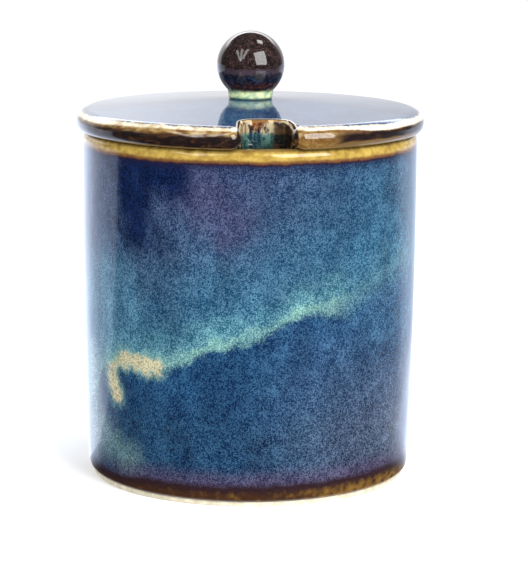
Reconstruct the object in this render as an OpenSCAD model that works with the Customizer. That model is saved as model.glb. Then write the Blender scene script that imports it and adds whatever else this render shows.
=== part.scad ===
// Lidded stoneware yarn bowl: a slightly barrelled jar with a lift-off lid. A ball of yarn sits in
// the jar, and its strand runs out through the notch in the lid's front edge.
// Millimetres, +Z up, the origin at the centre of the foot, the notch towards -Y.

/* [Jar] */
// Outer radius of the wall at its widest
jar_r = 65.4; // [64:0.1:66]
// Height of the rim above the table
jar_h = 135.9; // [120:0.1:150]
// Height of the wall's widest place, as a share of the jar's height
wide_at = 0.79; // [0.7:0.01:0.85]
// How much narrower the wall is just above the foot than at its widest
wall_taper = 1.65; // [0.5:0.05:3]
// Radius of the mouth's bore
mouth_r = 59; // [58.5:0.1:59.5]
// How much narrower the bore is near the floor than at the mouth
bore_taper = 1.8; // [0:0.1:4]
// Thickness of the floor
floor_t = 8; // [5:0.5:12]
// Radius of the curve between the floor and the wall inside
floor_curve = 5; // [3:0.5:12]
// Radius of the rim's outer edge
rim_round = 3; // [1.5:0.1:3.4]
// Radius of the rim's inner edge
rim_inner_round = 1.4; // [0.5:0.1:2]

/* [Foot] */
// Outer radius of the bare clay foot
foot_r = 61.7; // [58:0.1:62]
// Height of the bare clay foot
foot_h = 2.4; // [1.5:0.1:4]
// Chamfer under the foot's edge
foot_chamfer = 0.6; // [0.2:0.1:1.5]
// How far the glaze's lower edge stands out from the foot
glaze_lip = 0.9; // [0.3:0.1:1.2]
// Height at which the wall's lower curve runs into the wall
heel_h = 9.3; // [6:0.1:14]

/* [Lid] */
// Outer radius of the lid
lid_r = 67.9; // [67:0.1:70]
// Height of the lid's widest place above its underside
lid_belly = 3.8; // [3:0.1:5]
// Width and height of the curve under the lid's edge
edge_under_w = 2.8; // [1.5:0.1:4]
// Width of the curve over the lid's edge
edge_over_w = 5.2; // [4:0.1:8]
// Height of the curve over the lid's edge
edge_over_h = 4.9; // [4:0.1:6]
// Rise of the low cone from the edge curve to the knob's seat
cone_rise = 3.5; // [1:0.1:6]
// Depth of the shallow dish under the lid's middle
dish_depth = 2.4; // [0:0.1:4]

/* [Notch] */
// Distance of the notch's inner end from the lid's centre
notch_end = 50; // [44:0.1:50.5]
// Half of the notch's width at its inner end
notch_half_w = 7.8; // [7:0.1:10]
// Angle by which each side of the notch opens outwards
notch_flare = 7; // [0:0.5:8]
// Radius of the notch's two inner corners
notch_inner_round = 4; // [2:0.1:6]
// Radius of the two corners where the notch meets the lid's edge
notch_outer_round = 4; // [1:0.1:4.5]

/* [Locating ring] */
// Clearance between the ring and the mouth's bore
ring_gap = 1.8; // [1:0.1:2.5]
// Radial thickness of the ring
ring_t = 5.2; // [4:0.1:6]
// Depth of the ring below the lid's underside
ring_depth = 7; // [4:0.5:10]
// Radius of the ring's lower edges
ring_round = 1.8; // [0.5:0.1:2.2]
// Thickness of the wall that carries the ring round behind the notch
pocket_t = 4.4; // [3:0.1:6]

/* [Knob] */
// Radius of the ball
knob_r = 13.2; // [11:0.1:16]
// Height of the ball's centre above the knob's seat
knob_rise = 13.2; // [12:0.1:16]
// Radius of the neck's collar
neck_r = 8.8; // [7:0.1:9.5]
// Height at which the collar runs into the ball
neck_h = 3.2; // [2.5:0.1:4]
// How far the collar draws in where it meets the lid
neck_undercut = 0.9; // [0.3:0.1:1.5]

/* [Hidden] */

steps = 8;              // segments of each curved corner
wall_steps = 12;        // segments of the barrelled wall
seam_round_fn = 96;     // facets of round things when previewed
past = 5;               // how far cutters run past what they cut

wide_z = jar_h * wide_at;
wall_low_r = jar_r - wall_taper;
wall_top_z = jar_h - rim_round;
bore_low_r = mouth_r - bore_taper;
bore_low_z = floor_t + floor_curve;
bore_top_z = jar_h - rim_inner_round;

seat_r = neck_r + 0.5;
edge_top_r = lid_r - edge_over_w;
edge_top_z = jar_h + lid_belly + edge_over_h;
seat_z = edge_top_z + cone_rise;
// Angle round the edge curve at which it is as shallow as the cone, and hands over to it
shoulder_a = atan(edge_over_h * (edge_top_r - seat_r) / (edge_over_w * cone_rise));
ring_r = mouth_r - ring_gap;
ring_inner_r = ring_r - ring_t;
dish_r = notch_end - pocket_t;

$fn = seam_round_fn;

// Points of a quarter of an ellipse round [cx, cy], from angle a0 to angle a1.
function bend(cx, cy, rx, ry, a0, a1, n = steps) =
    [for (i = [0:n]) let (a = a0 + (a1 - a0) * i / n) [cx + rx * cos(a), cy + ry * sin(a)]];

// Outer radius of the wall at height z: a shallow parabola that is widest at wide_z.
function wall_r(z) = jar_r - wall_taper * pow((z - wide_z) / (wide_z - heel_h), 2);

// Height of the dish under the lid at radius r.
function dish_z(r) = jar_h + dish_depth * (1 - pow(r / dish_r, 2));

// The jar: foot, glaze lip, barrelled wall, rounded rim, bore and curved floor.
module jar_body() {
    rim_r = wall_r(wall_top_z);
    color("steelblue")
        rotate_extrude()
            polygon(concat(
                [[0, 0], [foot_r - foot_chamfer, 0], [foot_r, foot_chamfer], [foot_r, foot_h]],
                bend(foot_r + glaze_lip, heel_h, wall_low_r - foot_r - glaze_lip,
                     heel_h - foot_h, -90, 0),
                [for (i = [1:wall_steps - 1])
                    let (z = heel_h + (wall_top_z - heel_h) * i / wall_steps) [wall_r(z), z]],
                bend(rim_r - rim_round, wall_top_z, rim_round, rim_round, 0, 90),
                bend(mouth_r + rim_inner_round, bore_top_z, rim_inner_round, rim_inner_round,
                     90, 180),
                bend(bore_low_r - floor_curve, bore_low_z, floor_curve, floor_curve, 0, -90),
                [[0, floor_t]]
            ));
}

// Outline of the notch, seen from above and larger all round by grow: it opens outwards between two
// slanted sides, its inner corners are rounded, and its mouth flares round into the lid's edge.
module notch_outline(grow = 0) {
    // Half of the outline's width at distance d from the lid's centre
    function side_x(d) = notch_half_w + (d - notch_end) * tan(notch_flare) + grow / cos(notch_flare);
    inner_round = notch_inner_round + grow;
    inner_y = notch_end - grow + inner_round;
    inner_x = side_x(inner_y) - inner_round / cos(notch_flare);
    outer_y = sqrt(pow(lid_r, 2) - pow(notch_half_w + notch_outer_round, 2)) - notch_outer_round;
    outer_x = side_x(outer_y) + notch_outer_round / cos(notch_flare);
    half = concat(
        bend(inner_x, -inner_y, inner_round, inner_round, 90, -notch_flare),
        bend(outer_x, -outer_y, notch_outer_round, notch_outer_round, 180 - notch_flare, 270),
        [[outer_x, -lid_r - past]]
    );
    polygon(concat(half, [for (i = [len(half) - 1:-1:0]) [-half[i][0], half[i][1]]]));
}

// The cutter that opens the notch through the lid and its ring.
module notch_cutter() {
    translate([0, 0, jar_h - ring_depth - past])
        linear_extrude(ring_depth + seat_z - jar_h + 2 * past)
            notch_outline();
}

// The lid's disc: dished underside, bullnose edge, low cone, flat seat for the knob.
module lid_plate() {
    color("lightsteelblue")
        difference() {
            rotate_extrude()
                polygon(concat(
                    [for (i = [0:steps]) let (r = dish_r * i / steps) [r, dish_z(r)]],
                    bend(lid_r - edge_under_w, jar_h + lid_belly, edge_under_w, lid_belly, -90, 0),
                    bend(edge_top_r, jar_h + lid_belly, edge_over_w, edge_over_h, 0, shoulder_a),
                    [[seat_r, seat_z], [0, seat_z]]
                ));
            notch_cutter();
        }
}

// The ring that keeps the lid centred in the mouth. Where the notch passes, a pocket wall carries
// the ring round behind it, so the strand can rise between the ring and the jar's wall.
module lid_locating_ring() {
    color("tan")
        difference() {
            union() {
                rotate_extrude()
                    polygon(concat(
                        [[ring_inner_r, jar_h]],
                        bend(ring_inner_r + ring_round, jar_h - ring_depth + ring_round,
                             ring_round, ring_round, 180, 270),
                        bend(ring_r - ring_round, jar_h - ring_depth + ring_round,
                             ring_round, ring_round, 270, 360),
                        [[ring_r, jar_h]]
                    ));
                translate([0, 0, jar_h - ring_depth])
                    linear_extrude(ring_depth)
                        intersection() {
                            notch_outline(pocket_t);
                            circle(ring_r - ring_t / 2);
                        }
            }
            notch_cutter();
        }
}

// The ball knob on its short collared neck.
module lid_knob() {
    color("saddlebrown")
        translate([0, 0, seat_z]) {
            translate([0, 0, knob_rise]) sphere(knob_r);
            rotate_extrude()
                polygon(concat(
                    [[0, 0]],
                    bend(neck_r - neck_undercut, neck_h / 2, neck_undercut, neck_h / 2, -90, 0),
                    [[neck_r, neck_h], [0, knob_rise]]
                ));
        }
}

jar_body();
lid_plate();
lid_locating_ring();
lid_knob();
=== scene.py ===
import math

import bpy
import numpy as np
from mathutils import Matrix, Vector


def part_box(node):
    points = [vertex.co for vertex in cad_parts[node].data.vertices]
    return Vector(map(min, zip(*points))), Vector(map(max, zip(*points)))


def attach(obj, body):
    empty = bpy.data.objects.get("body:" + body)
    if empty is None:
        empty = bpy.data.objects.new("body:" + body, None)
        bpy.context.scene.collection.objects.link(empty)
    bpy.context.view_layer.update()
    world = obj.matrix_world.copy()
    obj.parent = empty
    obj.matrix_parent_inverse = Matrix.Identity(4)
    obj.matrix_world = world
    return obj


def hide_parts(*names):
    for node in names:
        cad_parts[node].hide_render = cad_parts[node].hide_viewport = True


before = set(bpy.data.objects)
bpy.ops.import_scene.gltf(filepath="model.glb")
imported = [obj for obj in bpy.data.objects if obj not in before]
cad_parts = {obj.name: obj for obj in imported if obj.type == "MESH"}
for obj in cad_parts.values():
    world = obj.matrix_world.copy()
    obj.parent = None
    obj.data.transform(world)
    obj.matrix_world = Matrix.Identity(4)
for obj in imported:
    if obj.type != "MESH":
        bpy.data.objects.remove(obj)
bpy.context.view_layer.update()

# Everything below is worked out in millimetres and turned to metres when a mesh is made.
MM = 0.001


# ---------------------------------------------------------------- sizes from the frame

def node_box(node):
    """Lowest and highest corner of a CAD node, in millimetres."""
    low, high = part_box(node)
    return low / MM, high / MM


jar_top = node_box("jar_body")[1]
disc_top = node_box("lid_plate")[1]
ring_bottom = node_box("lid_locating_ring")[0]
knob_top = node_box("lid_knob")[1]

JAR_R = jar_top.x
RIM_Z = jar_top.z
LID_R = disc_top.x
SEAT_Z = disc_top.z
RING_LOW_Z = ring_bottom.z
KNOB_R = knob_top.x
KNOB_TOP_Z = knob_top.z
BALL_Z = KNOB_TOP_Z - KNOB_R

# Jar
WIDE_Z = 0.79 * RIM_Z
HEEL_Z = 9.3
WALL_TAPER = 1.65
FOOT_R = 61.7
FOOT_Z = 2.4
GLAZE_LIP = 0.9
RIM_ROUND = 3.0
MOUTH_R = 59.0
MOUTH_ROUND = 1.4
BORE_LOW_R = 57.2
FLOOR_Z = 8.0
FLOOR_CURVE = 5.0
RECESS_R = 54.0
RECESS_DEPTH = 0.5

# Lid
BELLY_Z = RIM_Z + 3.8
EDGE_UNDER_W = 2.8
EDGE_OVER_W = 5.2
EDGE_OVER_H = 4.9
SEAT_R = 9.3
DISH_R = 45.6
DISH_DEPTH = 2.4
SHOULDER_R = LID_R - EDGE_OVER_W
CONE_RISE = SEAT_Z - BELLY_Z - EDGE_OVER_H
RING_SINK = 2.0  # how far the visual ring runs up into the disc

# Notch
NOTCH_END = 50.0
NOTCH_HALF_W = 7.8
NOTCH_FLARE = math.radians(7)
NOTCH_CORNER = 4.0
NOTCH_EDGE_ROUND = 1.8
NOTCH_MOUTH_ROUND = 4.5
NOTCH_LOWER_ROUND = 0.2

# Knob
NECK_R = 8.8
NECK_H = 3.2
NECK_UNDERCUT = 0.9

# The camera stands this far round from the notch, so the notch shows a little right of centre. The
# jar's glaze is laid out from the same side.
CAMERA_TURN = math.radians(5.6)


# ---------------------------------------------------------------- outlines

def arc(cx, cy, rx, ry, start, end, count):
    """Points along an ellipse round (cx, cy), from start to end in degrees."""
    angles = np.radians(np.linspace(start, end, count + 1))
    return [(cx + rx * math.cos(a), cy + ry * math.sin(a)) for a in angles]


def wall_r(z):
    """Outer radius of the barrelled wall at height z."""
    return JAR_R - WALL_TAPER * ((z - WIDE_Z) / (WIDE_Z - HEEL_Z)) ** 2


def jar_outline():
    """Outline of the jar from the middle of its base, round the rim, to the middle of its floor."""
    wall_top = RIM_Z - RIM_ROUND
    heel_r = wall_r(HEEL_Z)
    lip_r = FOOT_R + GLAZE_LIP
    rim_r = wall_r(wall_top)
    recess = [(r, RECESS_DEPTH) for r in np.linspace(0, RECESS_R, 19)]
    recess += arc(RECESS_R + 1.5, RECESS_DEPTH, 1.5, RECESS_DEPTH, 180, 270, 5)
    foot = arc(FOOT_R - 0.6, 0.6, 0.6, 0.6, -90, 0, 5) + [(FOOT_R, 1.2), (FOOT_R, FOOT_Z - 0.5)]
    lip = arc(FOOT_R + 0.45, FOOT_Z + 0.1, 0.45, 0.45, 200, 300, 5)
    heel = arc(lip_r, HEEL_Z, heel_r - lip_r, HEEL_Z - FOOT_Z, -82, 0, 16)
    wall = [(wall_r(z), z) for z in np.linspace(HEEL_Z, wall_top, 124)[1:-1]]
    rim = arc(rim_r - RIM_ROUND, wall_top, RIM_ROUND, RIM_ROUND, 0, 90, 14)
    inner = arc(MOUTH_R + MOUTH_ROUND, RIM_Z - MOUTH_ROUND, MOUTH_ROUND, MOUTH_ROUND, 90, 180, 8)
    bore_z = FLOOR_Z + FLOOR_CURVE
    bore = [(BORE_LOW_R + (MOUTH_R - BORE_LOW_R) * t, bore_z + (RIM_Z - MOUTH_ROUND - bore_z) * t)
            for t in np.linspace(1, 0, 50)[1:-1]]
    floor = arc(BORE_LOW_R - FLOOR_CURVE, bore_z, FLOOR_CURVE, FLOOR_CURVE, 0, -90, 24)
    middle = [(r, FLOOR_Z) for r in np.linspace(BORE_LOW_R - FLOOR_CURVE, 0, 16)[1:]]
    return recess + foot + lip + heel + wall + rim + inner + bore + floor + middle


def knob_outline():
    """Outline of the knob from the middle of its seat to the top of the ball."""
    neck_top = SEAT_Z + NECK_H
    base_r = NECK_R - NECK_UNDERCUT
    meet = -math.degrees(math.asin((BALL_Z - neck_top - 0.9) / KNOB_R))
    base = [(0, SEAT_Z - 0.6), (base_r - 1, SEAT_Z - 0.6), (base_r - 0.2, SEAT_Z - 0.2)]
    collar = arc(base_r, SEAT_Z + NECK_H / 2, NECK_UNDERCUT, NECK_H / 2, -80, 10, 10)
    ball = arc(0, BALL_Z, KNOB_R, KNOB_R, meet, 90, 64)
    return base + collar + [(NECK_R + 0.02, neck_top - 0.5), (NECK_R + 0.2, neck_top + 0.3)] + ball


def disc_outline():
    """Closed outline of half the lid's disc: dish, underside, bullnose edge, low cone, knob seat."""
    slope = CONE_RISE / (SHOULDER_R - SEAT_R)
    shoulder_end = math.degrees(math.atan2(EDGE_OVER_H, EDGE_OVER_W * slope))
    shoulder = arc(SHOULDER_R, BELLY_Z, EDGE_OVER_W, EDGE_OVER_H, 0, shoulder_end, 40)
    end_r, end_z = shoulder[-1]
    dish = [(r, RIM_Z + DISH_DEPTH * (1 - (r / DISH_R) ** 2)) for r in np.linspace(0, DISH_R, 40)]
    under = [(r, RIM_Z) for r in np.linspace(DISH_R, LID_R - EDGE_UNDER_W, 16)[1:-1]]
    belly = arc(LID_R - EDGE_UNDER_W, BELLY_Z, EDGE_UNDER_W, BELLY_Z - RIM_Z, -90, 0, 24)
    cone = [(end_r + (SEAT_R - end_r) * t, end_z + (SEAT_Z - end_z) * t)
            for t in np.linspace(0, 1, 20)[1:]]
    return np.array(dish + under + belly + shoulder[1:] + cone + [(0, SEAT_Z)])


def notch_outline():
    """Open outline of the notch in plan, from its left mouth round its inner end to its right."""
    def side_x(distance):
        return NOTCH_HALF_W + (distance - NOTCH_END) * math.tan(NOTCH_FLARE)
    corner_y = NOTCH_END + NOTCH_CORNER
    corner_x = side_x(corner_y) - NOTCH_CORNER / math.cos(NOTCH_FLARE)
    turned = arc(corner_x, -corner_y, NOTCH_CORNER, NOTCH_CORNER, -math.degrees(NOTCH_FLARE), 90, 24)
    far = LID_R + 15
    mouth = [(side_x(d), -d) for d in np.linspace(far, corner_y + 0.8, 20)]
    end = [(x, -NOTCH_END) for x in np.linspace(corner_x, 0, 6)[1:]]
    right = mouth + turned + end
    return np.array([(-x, y) for x, y in right] + right[-2::-1])


# ---------------------------------------------------------------- meshes

def new_object(name, vertices, faces):
    """A smooth-shaded mesh object from points in millimetres."""
    mesh = bpy.data.meshes.new(name)
    mesh.from_pydata([tuple(v) for v in np.asarray(vertices) * MM], [], faces)
    mesh.validate()
    mesh.shade_smooth()
    piece = bpy.data.objects.new(name, mesh)
    bpy.context.scene.collection.objects.link(piece)
    return piece


def uneven(angle):
    """How far a hand-thrown wall strays from a true circle at an angle, in millimetres."""
    return 0.09 * np.sin(2 * angle + 0.7) + 0.05 * np.sin(3 * angle + 2.1) + 0.03 * np.sin(7 * angle)


def lathe(name, outline, columns, wobble=1.0):
    """Turns an outline of (radius, height) round the Z axis. Ends on the axis close in a point."""
    vertices, rings = [], []
    angles = np.arange(columns) * 2 * math.pi / columns
    for r, z in outline:
        if r < 1e-6:
            rings.append([len(vertices)])
            vertices.append((0, 0, z))
            continue
        rings.append(list(range(len(vertices), len(vertices) + columns)))
        reach = r + wobble * uneven(angles) * r / JAR_R
        vertices += list(zip(reach * np.cos(angles), reach * np.sin(angles), [z] * columns))
    faces = []
    for low, high in zip(rings, rings[1:]):
        for i in range(columns):
            j = (i + 1) % columns
            if len(low) == 1:
                faces.append((low[0], high[j], high[i]))
            elif len(high) == 1:
                faces.append((low[i], low[j], high[0]))
            else:
                faces.append((low[i], low[j], high[j], high[i]))
    return new_object(name, vertices, faces)


def smoothstep(x, low, high):
    """0 below low, 1 above high and smooth between. High may be the lower of the two."""
    t = np.clip((x - low) / (high - low), 0, 1)
    return t * t * (3 - 2 * t)


def outline_distance(points, outline, closed):
    """Signed distance from each 2D point to an outline, negative on its left, and its gradient."""
    start = outline if closed else outline[:-1]
    end = np.roll(outline, -1, axis=0) if closed else outline[1:]
    along = end - start
    length2 = (along ** 2).sum(1)
    keep = length2 > 1e-12
    start, along, length2 = start[keep], along[keep], length2[keep]
    best = np.full(len(points), np.inf)
    gap = np.zeros((len(points), 2))
    normal = np.zeros((len(points), 2))
    right = np.stack([along[:, 1], -along[:, 0]], 1) / np.sqrt(length2)[:, None]
    for k in range(len(start)):
        offset = points - start[k]
        t = np.clip(offset @ along[k] / length2[k], 0, 1)
        near = offset - t[:, None] * along[k]
        d2 = (near ** 2).sum(1)
        closer = d2 < best
        best[closer] = d2[closer]
        gap[closer] = near[closer]
        before = right[k - 1] if closed or k else right[k]
        after = right[(k + 1) % len(start)] if closed or k + 1 < len(start) else right[k]
        blend = np.where(t[:, None] < 0.5, before * (0.5 - t[:, None]) + right[k] * (0.5 + t[:, None]),
                         right[k] * (1.5 - t[:, None]) + after * (t[:, None] - 0.5))
        normal[closer] = blend[closer]
    normal /= np.linalg.norm(normal, axis=1)[:, None]
    side = np.sign((gap * normal).sum(1))
    side[side == 0] = 1
    return side * np.sqrt(best), normal


def disc_surface(points, disc, notch):
    """How far points lie outside the notched disc, the outward direction there, and how far
    they are from the notch's wall."""
    r = np.hypot(points[:, 0], points[:, 1])
    around = points[:, :2] / np.maximum(r, 1e-9)[:, None]
    body, slope = outline_distance(np.stack([r, points[:, 2]], 1), disc, True)
    body_out = np.column_stack([around * slope[:, :1], slope[:, 1]])
    cut, cut_slope = outline_distance(points[:, :2], notch, False)
    cut_out = np.column_stack([cut_slope, np.zeros(len(points))])
    upper = NOTCH_EDGE_ROUND + (NOTCH_MOUTH_ROUND - NOTCH_EDGE_ROUND) * smoothstep(r, 57, 65)
    lower = smoothstep(r, 62, 58) * smoothstep(points[:, 2], BELLY_Z + 1, BELLY_Z - 1)
    fillet = upper + (NOTCH_LOWER_ROUND - upper) * lower
    a, b = body + fillet, cut + fillet
    both = (a > 0) & (b > 0)
    reach = np.hypot(a, b)
    distance = np.where(both, reach - fillet, np.maximum(body, cut))
    out = np.where((body > cut)[:, None], body_out, cut_out)
    rounded = (a[:, None] * body_out + b[:, None] * cut_out) / np.maximum(reach, 1e-9)[:, None]
    out = np.where(both[:, None], rounded, out)
    out /= np.maximum(np.linalg.norm(out, axis=1), 1e-9)[:, None]
    return distance, out, -cut


def relaxed(points, edges):
    """Each point moved to the middle of its neighbours."""
    total = np.zeros_like(points)
    count = np.zeros(len(points))
    for a, b in ((0, 1), (1, 0)):
        np.add.at(total, edges[:, a], points[edges[:, b]])
        np.add.at(count, edges[:, a], 1)
    return total / count[:, None]


def remeshed(name, node, voxel):
    """A copy of a CAD node's mesh, rebuilt in even quads."""
    piece = bpy.data.objects.new(name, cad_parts[node].data.copy())
    bpy.context.scene.collection.objects.link(piece)
    piece.data.materials.clear()
    remesh = piece.modifiers.new("remesh", "REMESH")
    remesh.mode = "VOXEL"
    remesh.voxel_size = voxel * MM
    graph = bpy.context.evaluated_depsgraph_get()
    mesh = bpy.data.meshes.new_from_object(piece.evaluated_get(graph))
    piece.modifiers.clear()
    piece.data = mesh
    mesh.name = name
    mesh.shade_smooth()
    return piece


def mesh_points(mesh):
    """A mesh's vertices, in millimetres."""
    points = np.empty(len(mesh.vertices) * 3, np.float32)
    mesh.vertices.foreach_get("co", points)
    return points.reshape(-1, 3).astype(float) / MM


def mesh_edges(mesh):
    """A mesh's edges, as pairs of vertex numbers."""
    edges = np.empty(len(mesh.edges) * 2, np.int32)
    mesh.edges.foreach_get("vertices", edges)
    return edges.reshape(-1, 2)


def set_points(mesh, points):
    """Moves a mesh's vertices to points in millimetres."""
    mesh.vertices.foreach_set("co", (points * MM).astype(np.float32).ravel())
    mesh.update()


def make_disc():
    """The lid's disc, its notch rounded into the dome and the edge as a glazed edge is."""
    piece = remeshed("lid_disc_glazed", "lid_plate", 0.8)
    points, edges = mesh_points(piece.data), mesh_edges(piece.data)
    disc, notch = disc_outline(), notch_outline()
    for _ in range(6):
        points = 0.5 * points + 0.5 * relaxed(points, edges)
        for _ in range(2):
            distance, out = disc_surface(points, disc, notch)[:2]
            points -= distance[:, None] * out
    for _ in range(4):
        distance, out, gap = disc_surface(points, disc, notch)
        points -= distance[:, None] * out
    set_points(piece.data, points)
    piece.data.normals_split_custom_set_from_vertices([tuple(n) for n in out])
    layer = piece.data.attributes.new("notch_gap", "FLOAT", "POINT")
    layer.data.foreach_set("value", np.clip(gap, 0, 60).astype(np.float32))
    return piece


def make_ring():
    """The locating ring and its pocket, softened as glazed clay is."""
    piece = remeshed("lid_ring_glazed", "lid_locating_ring", 0.6)
    points, edges = mesh_points(piece.data), mesh_edges(piece.data)
    top = points[:, 2].max()
    points[:, 2] += RING_SINK * smoothstep(points[:, 2], top - 3, top)
    for _ in range(8):
        points = 0.5 * points + 0.5 * relaxed(points, edges)
    set_points(piece.data, points)
    return piece


def make_jar():
    """The jar, with bare clay on its foot and its underside."""
    piece = lathe("jar_glazed", jar_outline(), 288)
    for face in piece.data.polygons:
        z = face.center.z / MM
        r = math.hypot(face.center.x, face.center.y) / MM
        if z < FLOOR_Z - 0.5 and (z < FOOT_Z - 0.35 or r < FOOT_R - 1):
            face.material_index = 1
    return piece


# ---------------------------------------------------------------- shader helpers

def srgb(r, g, b):
    """A colour given as 0 to 255 display values."""
    def linear(c):
        c /= 255
        return c / 12.92 if c <= 0.04045 else ((c + 0.055) / 1.055) ** 2.4
    return (linear(r), linear(g), linear(b), 1.0)


class Value:
    """A node's output that adds and multiplies like a number."""

    def __init__(self, nodes, socket):
        self.nodes, self.socket = nodes, socket

    def math(self, operation, *others):
        return self.nodes.math(operation, self, *others)

    def __add__(self, other):
        return self.math("ADD", other)

    def __sub__(self, other):
        return self.math("SUBTRACT", other)

    def __rsub__(self, other):
        return self.nodes.math("SUBTRACT", other, self)

    def __mul__(self, other):
        return self.math("MULTIPLY", other)

    def __truediv__(self, other):
        return self.math("DIVIDE", other)

    def __neg__(self):
        return self.math("MULTIPLY", -1.0)

    __radd__ = __add__

    def max(self, other):
        return self.math("MAXIMUM", other)

    def min(self, other):
        return self.math("MINIMUM", other)

    def step(self, low, high):
        """0 below low, 1 above high and smooth between. High may be the lower of the two."""
        return self.ramp(low, high, 0.0, 1.0)

    def ramp(self, low, high, start, end):
        """Start below low, end above high and smooth between."""
        node = self.nodes.add("ShaderNodeMapRange", {
            "Value": self, "From Min": low, "From Max": high, "To Min": start, "To Max": end},
            interpolation_type="SMOOTHSTEP")
        return Value(self.nodes, node.outputs["Result"])


class Nodes:
    """A node tree that is filled by calling functions."""

    def __init__(self, tree):
        self.tree = tree
        self.tree.nodes.clear()

    def add(self, kind, inputs=None, **settings):
        """A new node, with each input fed by a number, a colour or another node's output."""
        node = self.tree.nodes.new(kind)
        for name, value in settings.items():
            setattr(node, name, value)
        for name, value in (inputs or {}).items():
            self.feed(node.inputs[name], value)
        return node

    def feed(self, socket, value):
        if isinstance(value, Value):
            value = value.socket
        if isinstance(value, bpy.types.NodeSocket):
            self.tree.links.new(value, socket)
        else:
            socket.default_value = value

    def math(self, operation, *values):
        node = self.add("ShaderNodeMath", dict(enumerate(values)), operation=operation)
        return Value(self, node.outputs[0])

    def axes(self, vector):
        """A vector's three components."""
        parts = self.add("ShaderNodeSeparateXYZ", {0: vector})
        return [Value(self, parts.outputs[i]) for i in range(3)]


class Shader(Nodes):
    """One procedural material, with its coordinates in millimetres."""

    def __init__(self, name):
        self.material = bpy.data.materials.new(name)
        self.material.use_nodes = True
        super().__init__(self.material.node_tree)
        place = self.add("ShaderNodeTexCoord").outputs["Object"]
        self.place = self.add("ShaderNodeVectorMath", {0: place, "Scale": 1 / MM},
                              operation="SCALE").outputs[0]
        self.x, self.y, self.z = self.axes(self.place)

    def radius(self):
        """Distance from the Z axis."""
        return (self.x * self.x + self.y * self.y).math("SQRT")

    def stretched(self, x, y, z):
        """The coordinates scaled along each axis: below 1, blotches grow longer that way."""
        return self.add("ShaderNodeVectorMath", {0: self.place, 1: (x, y, z)},
                        operation="MULTIPLY").outputs[0]

    def noise(self, size, detail=2.0, rough=0.5, vector=None, twist=0.0):
        """Noise between 0 and 1 whose blotches are about size millimetres across."""
        node = self.add("ShaderNodeTexNoise", {
            "Vector": vector or self.place, "Scale": 1 / size, "Detail": detail,
            "Roughness": rough, "Distortion": twist})
        return Value(self, node.outputs["Fac"])

    def dots(self, size):
        """Distance to the nearest of many scattered points, in cells of size millimetres."""
        node = self.add("ShaderNodeTexVoronoi", {"Vector": self.place, "Scale": 1 / size})
        return Value(self, node.outputs["Distance"])

    def mix(self, factor, a, b):
        """Colour a where factor is 0, b where it is 1."""
        node = self.add("ShaderNodeMix", {"Factor": factor, "A": a, "B": b}, data_type="RGBA")
        return Value(self, node.outputs["Result"])

    def times(self, colour, tint):
        """One colour multiplied by another."""
        node = self.add("ShaderNodeMix", {"Factor": 1.0, "A": colour, "B": tint}, data_type="RGBA",
                        blend_type="MULTIPLY")
        return Value(self, node.outputs["Result"])

    def finish(self, colour, roughness, height=None, depth=0.0, **fixed):
        """Ends the material in a glossy or matt shader. Depth is the bump's height in millimetres."""
        inputs = {"Base Color": colour, "Roughness": roughness}
        inputs.update(fixed)
        if height is not None:
            bump = self.add("ShaderNodeBump", {"Height": height, "Distance": depth * MM,
                                               "Strength": 1.0})
            inputs["Normal"] = bump.outputs[0]
        surface = self.add("ShaderNodeBsdfPrincipled", inputs)
        self.add("ShaderNodeOutputMaterial", {"Surface": surface.outputs[0]})
        return self.material


# ---------------------------------------------------------------- glazes

# Pale cream for painted highlights: along the lid's shoulder and round the notch.
HIGHLIGHT_CREAM = srgb(216, 206, 188)

# Height of the lighter glaze's lower edge round the jar: degrees from the front, millimetres.
SWEEP = [(-180, 58), (-125, 34), (-78, 30), (-66, 38), (-56, 50), (-40, 51), (-28, 53), (-14, 60),
         (0, 64), (16, 73), (34, 77), (50, 84), (72, 90), (110, 92), (150, 74), (180, 58)]

# How pale the lighter glaze is along that edge: degrees from the front, 0 to 1.
CREST = [(-180, 0.5), (-70, 0.4), (-45, 0.75), (-28, 0.65), (-14, 0.75), (-3, 0.6), (4, 0.45),
         (12, 0.8), (24, 0.95), (34, 0.45), (50, 0.2), (90, 0.4), (180, 0.5)]


def speckled(shader, ground, fleck, amount=0.0, size=0.45):
    """Fine light flecks that crowd and thin out over a darker ground, as a reactive glaze has."""
    grain = shader.noise(size, 1.0, 0.6) * 0.7 + shader.noise(size * 2.3, 1.0, 0.6) * 0.3
    crowd = (shader.noise(size * 10, 2.0) - 0.5) * 0.2
    flecks = (grain + crowd + amount).step(0.40, 0.64)
    return shader.mix(flecks, ground, fleck)


def capsule(shader, start, end):
    """Distance from a place on the jar's wall to the line from start to end, in millimetres."""
    (x0, y0), (x1, y1) = start, end
    dx, dy = x1 - x0, y1 - y0
    px, py = shader.across - x0, shader.z - y0
    t = ((px * dx + py * dy) / (dx * dx + dy * dy)).max(0.0).min(1.0)
    gx, gy = px - t * dx, py - t * dy
    return (gx * gx + gy * gy).math("SQRT")


def curve(shader, value, points, low, high, top):
    """Looks value up in a smooth curve through points, given as (value, result)."""
    node = shader.add("ShaderNodeFloatCurve")
    line = node.mapping.curves[0]
    while len(line.points) < len(points):
        line.points.new(0.5, 0.5)
    for knot, (at, result) in zip(line.points, points):
        knot.location = ((at - low) / (high - low), result / top)
    node.mapping.update()
    shader.feed(node.inputs["Value"], (value - low) / (high - low))
    return Value(shader, node.outputs[0]) * top


def front_angle(s):
    """Degrees round the jar's axis from the side that faces the camera, from -180 to 180."""
    cos, sin = math.cos(CAMERA_TURN), math.sin(CAMERA_TURN)
    return s.math("ARCTAN2", s.x * cos - s.y * sin, -(s.y * cos + s.x * sin)) * (180 / math.pi)


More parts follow.
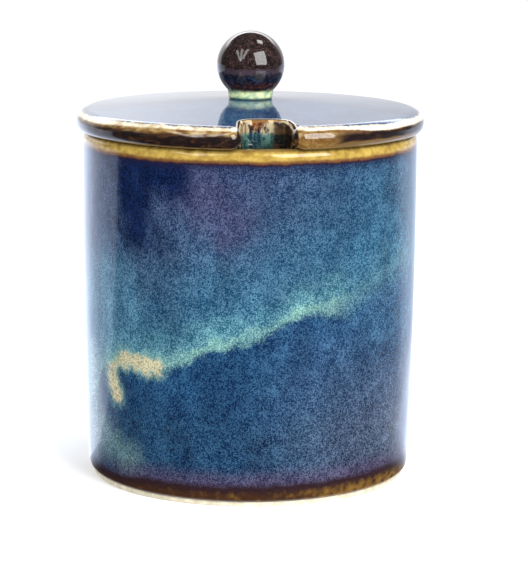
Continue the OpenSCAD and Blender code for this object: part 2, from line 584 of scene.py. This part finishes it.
class JarShader(Shader):
    """The jar's glaze, with its place round the wall and the noises that its parts share."""

    def __init__(self, name):
        super().__init__(name)
        self.turn = front_angle(self)
        self.across = self.turn * (math.pi / 180 * JAR_R)
        self.not_back = self.across.step(196, 130)
        self.cloud = self.noise(11, 3.0, vector=self.stretched(1, 1, 0.55)) - 0.5
        self.ripple = self.noise(6, 3.0) - 0.5
        self.fuzz = self.noise(1.3, 2.0) - 0.5


def ground_below(s):
    """Dark and light tones under the sweep: navy, greyer and more purple low on the right."""
    low_right = s.across.step(-12, 62) * s.z.step(84, 20) * s.not_back
    low = s.z.step(48, 24) * 0.75
    right_edge = s.across.step(38, 54) * s.not_back * s.z.step(50, 68)
    dark = s.mix(low_right, srgb(7, 31, 62), srgb(30, 45, 68))
    dark = s.mix(low, dark, s.mix(low_right, srgb(6, 27, 54), srgb(22, 32, 48)))
    dark = s.mix(right_edge * 0.6, dark, srgb(20, 58, 88))
    light = s.mix(low_right, srgb(44, 82, 112), srgb(88, 104, 126))
    light = s.mix(low, light, s.mix(low_right, srgb(46, 80, 106), srgb(86, 97, 117)))
    light = s.mix(right_edge * 0.6, light, srgb(84, 122, 148))
    return dark, light


def ground_above(s, above):
    """Dark and light tones over the sweep: violet blue near the rim, teal towards the sweep, and a
    tapering near-black stripe on the left under the rim that is painted reflection.
    """
    fall = (above + (s.noise(26, 3.0) - 0.5) * 20).step(66, 4)
    right = s.across.step(5, 50) * s.not_back
    haze = capsule(s, (-24, 124), (-10, 108)) + s.cloud * 24 + s.ripple * 12
    haze = haze.step(18, 2) * 0.48
    # Painted reflection: a tapering dark navy stripe on the left under the rim, with a sharp left
    # border.
    dark_reflection = capsule(s, (-48, 129), (-31, 124)).min(capsule(s, (-50, 124), (-45, 104)))
    dark_reflection = (dark_reflection + s.cloud * 18 + s.ripple * 6).step(15, 3) * s.across.step(-68, -56)
    left_edge = s.across.step(-40, -58) * s.z.step(102, 76) * s.across.step(-160, -100)
    dark = s.mix(fall, srgb(16, 30, 58), srgb(12, 53, 82))
    dark = s.mix(haze, dark, srgb(44, 42, 72))
    dark = s.mix(dark_reflection * 0.95, dark, srgb(0, 10, 38))
    dark = s.mix(left_edge * 0.7, dark, srgb(40, 86, 114))
    light = s.mix(fall, s.mix(right, srgb(68, 82, 110), srgb(54, 82, 108)), srgb(72, 114, 134))
    light = s.mix(haze, light, srgb(86, 82, 112))
    light = s.mix(dark_reflection * 0.92, light, srgb(7, 28, 68))
    light = s.mix(left_edge * 0.7, light, srgb(108, 154, 174))
    return dark, light


def two_glazes(s):
    """The ground, and the lighter glaze over it, whose pale edge wanders and blurs on the right."""
    edge = curve(s, s.turn, SWEEP, -180, 180, 136)
    above = s.z - edge + s.ripple * 7 + s.fuzz * 2.4
    spread = s.across.step(18, 52) * s.not_back * 9 + 1.8
    started = ((above + 0.4) / spread).step(-1.0, 1.0)
    strength = curve(s, s.turn, CREST, -180, 180, 1)
    glow = started * (above + s.ripple * 9).step(17, 0.5) * strength
    crest = started * (above + s.ripple * 4 + s.fuzz * 2).step(5.5, 0.8) * strength
    shade = above.step(-24, -2) * (1 - started)
    dark, light = ground_below(s)
    over_dark, over_light = ground_above(s, above)
    dark = s.mix(started, dark, over_dark)
    dark = s.mix(glow * 0.55, dark, srgb(56, 112, 120))
    dark = s.mix(crest * 0.7, dark, srgb(84, 130, 120))
    dark = s.mix(shade * 0.5, dark, srgb(5, 32, 68))
    light = s.mix(started, light, over_light)
    light = s.mix(glow, light, srgb(114, 160, 162))
    light = s.mix(crest * 0.8, light, srgb(142, 174, 154))
    patchy = s.mix(s.cloud.step(-0.2, 0.25), srgb(208, 208, 214), srgb(255, 255, 255))
    return s.times(speckled(s, dark, light), patchy)


def with_drips(s, colour):
    """Adds the tan drips where the two glazes pooled, in a soft green halo."""
    drip = capsule(s, (-62.5, 45), (-58.5, 38.5)) - 3.1
    drip = drip.min(capsule(s, (-62, 48.5), (-54, 53.5)) - 1.8)
    drip = drip.min(capsule(s, (-54, 53.2), (-37, 52.4)) - 2.8)
    drip = drip + s.noise(4.2, 2.0) * 7 - 3.5 + s.fuzz * 3.6
    halo = speckled(s, srgb(70, 116, 116), srgb(134, 164, 148))
    tan = speckled(s, srgb(116, 108, 84), srgb(178, 170, 138), 0.05, 0.6)
    colour = s.mix(drip.step(4.2, 0.0) * 0.45, colour, halo)
    return s.mix(drip.step(1.4, -1.8) * 0.9, colour, tan)


def with_washes(s, colour):
    """Adds the pale wash at the far left and the green tinge low down."""
    wash = capsule(s, (-80, 50), (-80, 18)) + s.ripple * 8
    green = capsule(s, (-68, 21), (-52, 14)) + s.ripple * 12 + s.cloud * 10
    pale = speckled(s, srgb(96, 120, 126), srgb(168, 186, 184))
    tinge = speckled(s, srgb(58, 88, 92), srgb(124, 152, 150))
    colour = s.mix(wash.step(13, 0) * 0.6, colour, pale)
    return s.mix(green.step(12, 0) * 0.48, colour, tinge)


def with_heel(s, colour):
    """Adds purple at the heel, then brown to gold where the glaze thins over the foot."""
    gold_side = s.across.step(-10, 50) * s.not_back
    thin_side = s.across.step(-34, -62) * s.across.step(-160, -100)
    band = s.z + s.ripple * 2.2 + s.fuzz * 1.6 - gold_side * 1.0 + thin_side * 1.6
    golden = (s.noise(3.2, 2.0) + gold_side * 0.25).step(0.5, 0.95)
    gold = s.mix(golden, srgb(52, 32, 20), srgb(108, 80, 36))
    purple = band.step(17, 9) * (s.across.step(-74, -48) * 0.5 + 0.2)
    colour = s.mix(purple, colour, speckled(s, srgb(36, 28, 50), srgb(82, 70, 92)))
    colour = s.mix(band.step(10, 7.0), colour, srgb(34, 20, 24))
    return s.mix(band.step(7.2, 3.6), colour, gold)


def with_rim(s, colour):
    """Adds a dark line under the rim, then honey where the glaze runs off the edge, with painted shade
    darkening the honey at the top, under the lid.
    """
    drop = RIM_Z - s.z + s.fuzz * 0.9 + s.ripple * 1.6
    honey = s.mix(s.noise(3.0, 3.0).step(0.3, 0.7), srgb(128, 102, 44), srgb(162, 138, 68))
    # Painted shade: the honey darkened at the top of the rim, under the lid's overhang.
    honey = s.mix(drop.step(1.6, 0.2) * 0.7, honey, srgb(82, 60, 28))
    colour = s.mix(drop.step(9.5, 5.4) * 0.75, colour, srgb(18, 20, 44))
    colour = s.mix(drop.step(6.4, 5.4), colour, srgb(36, 20, 30))
    colour = s.mix(drop.step(5.7, 4.6), colour, srgb(92, 62, 34))
    return s.mix(drop.step(4.7, 3.4), colour, honey)


def glossy(s, colour, least_rough, spread, depth, ior):
    """Ends a glaze that is almost a mirror, with low waves and a trace of orange peel."""
    height = s.noise(9, 2.0) * 0.8 + s.noise(0.9, 2.0) * 0.05
    roughness = s.noise(1.5).step(0.3, 0.8) * spread + least_rough
    return s.finish(colour, roughness, height, depth, IOR=ior)


def jar_glaze():
    """Mottled blue with a pale sweep, tan drips, a brown to gold foot band and a honey rim."""
    s = JarShader("jar_reactive_glaze")
    colour = with_drips(s, two_glazes(s))
    colour = with_heel(s, with_washes(s, colour))
    return glossy(s, with_rim(s, colour), 0.05, 0.04, 0.12, 1.5)


def bare_clay():
    """Unglazed stoneware, pale and finely grained, with turning marks under the foot."""
    s = Shader("bare_stoneware")
    colour = s.mix(s.noise(3, 4.0).step(0.3, 0.7), srgb(184, 174, 150), srgb(210, 204, 184))
    specks = s.dots(1.6).step(0.16, 0.06)
    colour = s.mix(specks * 0.7, colour, srgb(150, 122, 92))
    turned = (s.radius() * 2.6).math("SINE") * s.z.step(1.4, 0.6)
    return s.finish(colour, 0.85, s.noise(0.35, 4.0) + turned * 0.6, 0.12)


def pooled_glaze(s):
    """Teal glaze pooled in the notch, with the three noises that break it up."""
    streak = s.noise(2.8, 2.0, 0.6, vector=s.stretched(1, 1, 0.28), twist=0.4)
    blotch = s.noise(2.0, 3.0, vector=s.stretched(1, 1, 0.6))
    grain = s.noise(0.6, 2.0)
    pool = s.mix(streak.step(0.42, 0.60), srgb(70, 106, 98), srgb(12, 38, 56))
    pool = s.mix(blotch.step(0.48, 0.64) * 0.7, pool, srgb(8, 18, 30))
    pool = s.mix(grain.step(0.55, 0.72) * 0.5, pool, srgb(104, 138, 128))
    shadow = (RIM_Z + 0.6 - s.z + (blotch - 0.5) * 4).step(-2.0, 2.6)
    return s.mix(shadow * 0.85, pool, srgb(6, 12, 18)), streak, blotch, grain


class LidShader(Shader):
    """The lid's glaze, with its place round the edge and the noises that its parts share."""

    def __init__(self, name):
        super().__init__(name)
        attribute = self.add("ShaderNodeAttribute", attribute_name="notch_gap")
        self.gap = Value(self, attribute.outputs["Fac"])
        self.side = self.math("ARCTAN2", self.x, -self.y)
        self.mottle = self.noise(4.2, 3.0, 0.55, vector=self.stretched(1, 1, 2.2), twist=0.5)
        self.ripple = self.noise(5, 3.0) - 0.5
        self.fuzz = self.noise(1.2, 2.0) - 0.5


def edge_glaze(s):
    """Honey to rust below the shoulder, sandy right of the notch, black-brown at the widest, with a
    painted reflection as a tan line along the bottom.
    """
    redder = (s.side + (s.noise(24, 2.0) - 0.5) * 0.8).step(0.36, 0.62)
    rust = s.mix(s.mottle.step(0.4, 0.66), srgb(48, 24, 18), srgb(86, 62, 44))
    honey = s.mix(s.mottle.step(0.40, 0.62), srgb(138, 116, 74), srgb(96, 66, 32))
    honey = s.mix(s.mottle.step(0.58, 0.72), honey, srgb(62, 28, 14))
    honey = s.mix(redder * 0.9, honey, rust)
    dark = s.mix(s.mottle.step(0.45, 0.72), srgb(20, 13, 14), srgb(56, 36, 22))
    widest = (BELLY_Z + 1.6 - s.z + s.ripple * 1.6).step(-0.9, 0.8)
    beside = s.side.step(0.08, 0.16) * s.side.step(0.46, 0.34)
    sand = s.mix(s.mottle.step(0.38, 0.66), srgb(116, 90, 48), srgb(84, 56, 24))
    sand = s.mix(s.noise(0.7, 2.0).step(0.56, 0.7) * 0.4, sand, srgb(154, 130, 88))
    edge = s.mix(beside * 0.9, s.mix(widest, honey, dark), sand)
    # Painted reflection: a paler tan line along the bottom of the bullnose, rising on the right.
    reflection_rise = s.side.step(0.3, 0.5) * 1.6
    reflection_line = (BELLY_Z - 2.6 + reflection_rise - s.z + s.ripple * 0.8).step(0.0, 0.9)
    return s.mix(reflection_line * 0.85, edge, srgb(98, 76, 44))


def with_edge(s, colour):
    """Adds a cream line along the shoulder, mostly painted highlight and partly paler glaze where it
    thins over the edge, and the edge's glaze below it.
    """
    # At the far left and right the painted highlight reaches lower down the edge.
    reach = s.side.step(0.4, 0.75) * 1.5 + s.side.step(-0.6, -1.2) * 1.0
    fallen = SEAT_Z - s.z + s.ripple * 0.9 + s.fuzz * 0.4 - reach * 0.5
    outward = s.radius().step(SHOULDER_R - 1.5, SHOULDER_R + 1.5)
    # Mostly painted highlight, partly paler glaze where it thins: a cream band where the shoulder
    # turns down.
    wear_and_highlight = s.mix(s.mottle.step(0.42, 0.62), srgb(206, 196, 176), srgb(170, 150, 114))
    # Painted highlight: the band turns whiter at the far left and right of the shoulder.
    wear_and_highlight = s.mix((s.side.step(-0.7, -1.2) + s.side.step(0.3, 0.6)) * 0.6, wear_and_highlight, HIGHLIGHT_CREAM)
    line = outward * (fallen + s.fuzz).step(CONE_RISE + 0.1, CONE_RISE + 0.9)
    below = outward * (fallen - reach * 0.5).step(CONE_RISE + 1.2, CONE_RISE + 2.0)
    return s.mix(below, s.mix(line, colour, wear_and_highlight), edge_glaze(s))


def with_notch(s, colour):
    """Adds a cream line round the notch as painted highlight, and a dark line; on its wall patches,
    then pooled teal, with painted shade darkening its right half and side walls.
    """
    pool, streak, blotch, grain = pooled_glaze(s)
    run = s.mix(streak.step(0.44, 0.56), srgb(160, 146, 118), srgb(104, 58, 22))
    run = s.mix(blotch.step(0.50, 0.60) * 0.9, run, srgb(30, 20, 24))
    run = s.mix(grain.step(0.58, 0.72) * 0.5, run, srgb(180, 170, 150))
    depth = (RIM_Z + 4.8 - s.z + (blotch - 0.5) * 5 + (streak - 0.5) * 4).step(-0.8, 1.0)
    # Near-black brown: painted shade on the notch's right half and side walls, and the dark line round
    # the notch's outer part.
    brown = s.mix(s.mottle.step(0.45, 0.7), srgb(14, 10, 12), srgb(66, 42, 22))
    # Painted shade on the notch's side walls.
    shaded_flank = s.x.math("ABSOLUTE").step(NOTCH_HALF_W - 2.2, NOTCH_HALF_W - 0.4)
    shaded_flank = shaded_flank * (-s.y).step(NOTCH_END + 1.6, NOTCH_END + 3.8)
    wall = s.mix(depth, run, pool)
    # Painted shade: the right half of the notch's wall darkened to near-black brown.
    wall = s.mix((s.x + (blotch - 0.5) * 5).step(2.4, 5.0) * 0.94, wall, brown)
    wall = s.mix(shaded_flank, wall, brown)
    inner = (-s.y).step(SHOULDER_R + 1.5, SHOULDER_R - 1.5)
    ledge = s.gap + s.fuzz * 0.3
    lip = s.mix(streak.step(0.45, 0.6), srgb(168, 148, 108), srgb(112, 80, 42))
    # Painted highlight: a thin cream line along the top of the notch's rounded edge.
    colour = s.mix(ledge.step(2.4, 1.8) * inner, colour, HIGHLIGHT_CREAM)
    colour = s.mix(ledge.step(1.8, 1.4), colour, s.mix(inner, brown, srgb(30, 20, 20)))
    colour = s.mix(ledge.step(1.1, 0.7) * inner, colour, lip)
    return s.mix((s.gap + s.ripple * 0.4).step(0.5, 0.1), colour, wall)


def lid_glaze():
    """The jar's blue on the cone, a cream line along the shoulder that is mostly painted highlight,
    then honey and black-brown over the edge.
    """
    s = LidShader("lid_reactive_glaze")
    broad = s.noise(26, 3.0)
    dark = s.mix(broad.step(0.35, 0.65), srgb(12, 32, 66), srgb(22, 48, 84))
    light = s.mix(broad.step(0.35, 0.65), srgb(56, 82, 112), srgb(74, 108, 136))
    colour = with_notch(s, with_edge(s, speckled(s, dark, light)))
    return glossy(s, colour, 0.045, 0.03, 0.07, 1.52)


def ring_glaze():
    """Teal where the glaze pooled round the ring, darkened on its right by painted shade, bare brown
    on the edge it was fired on.
    """
    s = Shader("ring_glaze")
    brown = s.mix(s.noise(3, 3.0).step(0.4, 0.65), srgb(14, 10, 12), srgb(58, 38, 22))
    # Painted shade: the ring's right side darkened to near-black brown, as the notch's right wall is.
    colour = s.mix(s.x.step(2.4, 5.0) * 0.94, pooled_glaze(s)[0], brown)
    wear_and_highlight = (s.z - RING_LOW_Z + (s.noise(2, 3.0) - 0.5) * 2).step(1.8, 0.6)
    colour = s.mix(wear_and_highlight, colour, srgb(160, 124, 78))
    return s.finish(colour, 0.09, s.noise(4, 3.0), 0.1, IOR=1.5)


def knob_glaze():
    """Black-brown with rust and tan specks, blue low on the ball, celadon round the neck."""
    s = Shader("knob_glaze")
    ripple = s.noise(3, 3.0) - 0.5
    mottle = s.noise(1.5, 4.0, 0.6, twist=0.6)
    patch = s.mix(mottle.step(0.4, 0.6), srgb(20, 16, 20), srgb(54, 37, 34))
    colour = s.mix(mottle.step(0.40, 0.64), srgb(18, 12, 12), srgb(42, 30, 28))
    colour = s.mix(s.noise(7, 2.0).step(0.45, 0.62) * 0.7, colour, patch)
    colour = s.mix(s.noise(0.5, 2.0).step(0.60, 0.74) * 0.7, colour, srgb(104, 88, 84))
    girdle = (s.z - BALL_Z + 1.8 + ripple * 2.4).math("ABSOLUTE").step(1.5, 0.5)
    colour = s.mix(girdle * 0.42, colour, srgb(72, 60, 72))
    belly = (BALL_Z - 3.4 - s.z + ripple * 3).step(-1.0, 1.2)
    deep = s.mix(mottle.step(0.50, 0.62), srgb(12, 8, 16), srgb(18, 42, 70))
    deep = s.mix(s.noise(3.4, 2.0).step(0.56, 0.66) * 0.7, deep, srgb(58, 20, 42))
    colour = s.mix(belly * 0.9, colour, deep)
    low = (BALL_Z - 6.6 - s.z + ripple * 4).step(-1.0, 1.4)
    rust = s.mix(mottle.step(0.44, 0.66), srgb(30, 14, 12), srgb(84, 44, 18))
    colour = s.mix(low * 0.9, colour, rust)
    neck = (SEAT_Z + NECK_H + 0.3 - s.z + ripple * 1.8).step(-0.9, 1.0)
    celadon = s.mix(s.noise(2.2, 3.0).step(0.35, 0.65), srgb(132, 164, 138), srgb(200, 210, 158))
    colour = s.mix(neck, colour, celadon)
    join = (SEAT_Z + 0.8 - s.z + ripple * 0.6).step(-0.4, 0.5)
    colour = s.mix(join * 0.8, colour, srgb(54, 84, 84))
    roughness = s.noise(1.5).step(0.3, 0.8) * 0.03 + 0.035
    return s.finish(colour, roughness, s.noise(5, 2.0), 0.1, IOR=1.5)


# ---------------------------------------------------------------- the pieces

def dress(piece, body, node, slot, *materials):
    """Gives a piece its materials, ties it to its body and hides its CAD node; the slot is not used.
    """
    for material in materials:
        piece.data.materials.append(material)
    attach(piece, body)
    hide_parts(node)


dress(make_jar(), "jar", "jar_body", "jar_glaze", jar_glaze(), bare_clay())
dress(make_disc(), "lid", "lid_plate", "lid_glaze", lid_glaze())
dress(make_ring(), "lid", "lid_locating_ring", "ring_glaze", ring_glaze())
dress(lathe("lid_knob_glazed", knob_outline(), 160, 0.5), "lid_grip", "lid_knob", "knob_glaze",
      knob_glaze())


# ---------------------------------------------------------------- stage, lights and camera

FLOOR_REACH = 1.6
FLOOR_COLOUR = srgb(252, 252, 252)

# A flat ring just over the floor stands in for the floor as shiny surfaces mirror it. Metres.
MIRRORED_INNER = 0.0645
MIRRORED_OUTER = 3.0
MIRRORED_Z = 0.0004
MIRRORED_GLOW = 2.2

# How bright the floor round the jar mirrors: degrees from the camera's side, 0 to 1.
MIRRORED = [(-180, 0.5), (-162, 0.75), (-147, 1.0), (-133, 0.85), (-117, 0.62), (-103, 0.55),
            (-99, 0.36), (-97, 0.01), (-93, 0.005), (-76, 0.005), (-30, 0.005), (40, 0.005),
            (66, 0.02), (84, 0.04), (104, 0.1), (118, 0.34), (131, 0.6), (142, 0.6), (180, 0.5)]

LIGHT_AIM = Vector((0, 0, 0.08))
ROOM_LIGHT = 0.12


def stage_piece(name, vertices, faces, surface):
    """A flat piece of the stage, its vertices in metres."""
    mesh = bpy.data.meshes.new(name)
    mesh.from_pydata(vertices, [], faces)
    mesh.materials.append(surface)
    piece = bpy.data.objects.new(name, mesh)
    bpy.context.scene.collection.objects.link(piece)
    return piece


def make_floor():
    """A pale, matt floor, very faintly mottled."""
    signs = [(-1, -1), (1, -1), (1, 1), (-1, 1)]
    corners = [(FLOOR_REACH * x, FLOOR_REACH * y, 0) for x, y in signs]
    s = Shader("floor_surface")
    darker = tuple(0.98 * c for c in FLOOR_COLOUR[:3]) + (1,)
    colour = s.mix(s.noise(40, 2.0).step(0.3, 0.7), FLOOR_COLOUR, darker)
    stage_piece("floor", corners, [(0, 1, 2, 3)], s.finish(colour, 0.9))


def make_mirrored_floor():
    """The floor as shiny surfaces mirror it: dim before the jar and pale behind it."""
    circle = [(math.sin(a), math.cos(a)) for a in np.linspace(0, 2 * math.pi, 49)[:-1]]
    count = len(circle)
    vertices = [(reach * x, reach * y, MIRRORED_Z)
                for reach in (MIRRORED_INNER, MIRRORED_OUTER) for x, y in circle]
    faces = [(i, count + i, count + (i + 1) % count, (i + 1) % count) for i in range(count)]
    s = Shader("mirrored_floor_surface")
    turn = front_angle(s)
    out = s.radius()
    near = out.step(330, 120) * 0.5 + out.step(190, 100) * 0.4
    tone = curve(s, turn, MIRRORED, -180, 180, 1) + near * turn.math("ABSOLUTE").step(74, 116)
    shine = s.times(s.mix(tone, (0, 0, 0, 1), (1, 1, 1, 1)), (0.72, 0.81, 1.0, 1))
    glowing = {"Emission Color": shine, "Emission Strength": MIRRORED_GLOW}
    surface = s.finish((0, 0, 0, 1), 0.9, **glowing)
    piece = stage_piece("mirrored_floor", vertices, faces, surface)
    piece.visible_camera = False
    piece.visible_diffuse = False
    piece.visible_shadow = False


def soft_light(name, place, width, height, radiance, roll=0.0):
    """A rectangular softbox that faces the object. Radiance is its brightness as seen."""
    data = bpy.data.lights.new(name, "AREA")
    data.shape = "RECTANGLE"
    data.size = width
    data.size_y = height
    data.energy = radiance * math.pi * width * height
    light = bpy.data.objects.new(name, data)
    light.location = place
    facing = (LIGHT_AIM - Vector(place)).to_track_quat("-Z", "Y")
    light.rotation_euler = (facing.to_matrix() @ Matrix.Rotation(roll, 3, "Z")).to_euler()
    bpy.context.scene.collection.objects.link(light)


def backdrop_light(nodes):
    """Brightness of the surroundings as mirrored: a bright backdrop behind, a dim room elsewhere."""
    direction = nodes.add("ShaderNodeTexCoord").outputs["Generated"]
    sideward, backward, upward = nodes.axes(direction)
    behind = backward.ramp(0.50, 0.74, 0.0, 1.0)
    low = upward.ramp(0.10, 0.36, 1.2, 1.9) * sideward.ramp(0.01, 0.10, 1.0, 0.7)
    rise = low + upward.ramp(0.36, 0.44, 0.0, 3.2)
    cut = upward.ramp(0.52, 0.62, 1.0, 0.0)
    return behind * (rise * cut) + ROOM_LIGHT


def studio():
    """Soft white light all round. Shiny surfaces mirror a bright backdrop and a dim room."""
    world = bpy.data.worlds.new("studio")
    bpy.context.scene.world = world
    world.use_nodes = True
    nodes = Nodes(world.node_tree)

    def glow(colour, strength):
        return nodes.add("ShaderNodeBackground", {"Color": colour, "Strength": strength}).outputs[0]

    def choose(factor, a, b):
        return nodes.add("ShaderNodeMixShader", {0: factor, 1: a, 2: b}).outputs[0]

    mirrored = glow((1.0, 0.99, 1.02, 1), backdrop_light(nodes))
    soft = glow((0.98, 0.99, 1.0, 1), 1.0)
    seen = glow((1, 1, 1, 1), 1.05)
    rays = nodes.add("ShaderNodeLightPath")
    lit = choose(rays.outputs["Is Glossy Ray"], soft, mirrored)
    shown = choose(rays.outputs["Is Camera Ray"], lit, seen)
    nodes.add("ShaderNodeOutputWorld", {"Surface": shown})


CAMERA_DISTANCE = 0.9476
CAMERA_HEIGHT = 0.2497
CAMERA_PITCH = math.radians(10.55)
CAMERA_YAW = math.radians(0.354)
CAMERA_ROLL = math.radians(0.43)
CAMERA_LENS = 152.6


def make_camera():
    data = bpy.data.cameras.new("camera")
    data.lens = CAMERA_LENS
    data.sensor_width = 36
    data.clip_end = 20
    camera = bpy.data.objects.new("camera", data)
    camera.matrix_world = (
        Matrix.Rotation(-CAMERA_TURN, 4, "Z")
        @ Matrix.Translation((0, -CAMERA_DISTANCE, CAMERA_HEIGHT))
        @ Matrix.Rotation(-CAMERA_YAW, 4, "Z")
        @ Matrix.Rotation(math.pi / 2 - CAMERA_PITCH, 4, "X")
        @ Matrix.Rotation(CAMERA_ROLL, 4, "Z")
    )
    bpy.context.scene.collection.objects.link(camera)
    bpy.context.scene.camera = camera


make_floor()
make_mirrored_floor()
soft_light("right_softbox", (0.53, -0.85, 0.62), 0.75, 0.85, 9.0)
for strip in range(3):
    soft_light("left_softbox_%d" % strip, (-1.02 + 0.30 * strip, -0.76, 0.90), 0.16,
               1.15 - 0.2 * strip, 5.0, math.radians(38 - 26 * strip))
soft_light("top_softbox", (0.55, 0.1, 1.5), 0.35, 0.35, 10.0)
studio()
make_camera()

bpy.context.scene.view_settings.view_transform = "Standard"
bpy.context.scene.view_settings.look = "None"
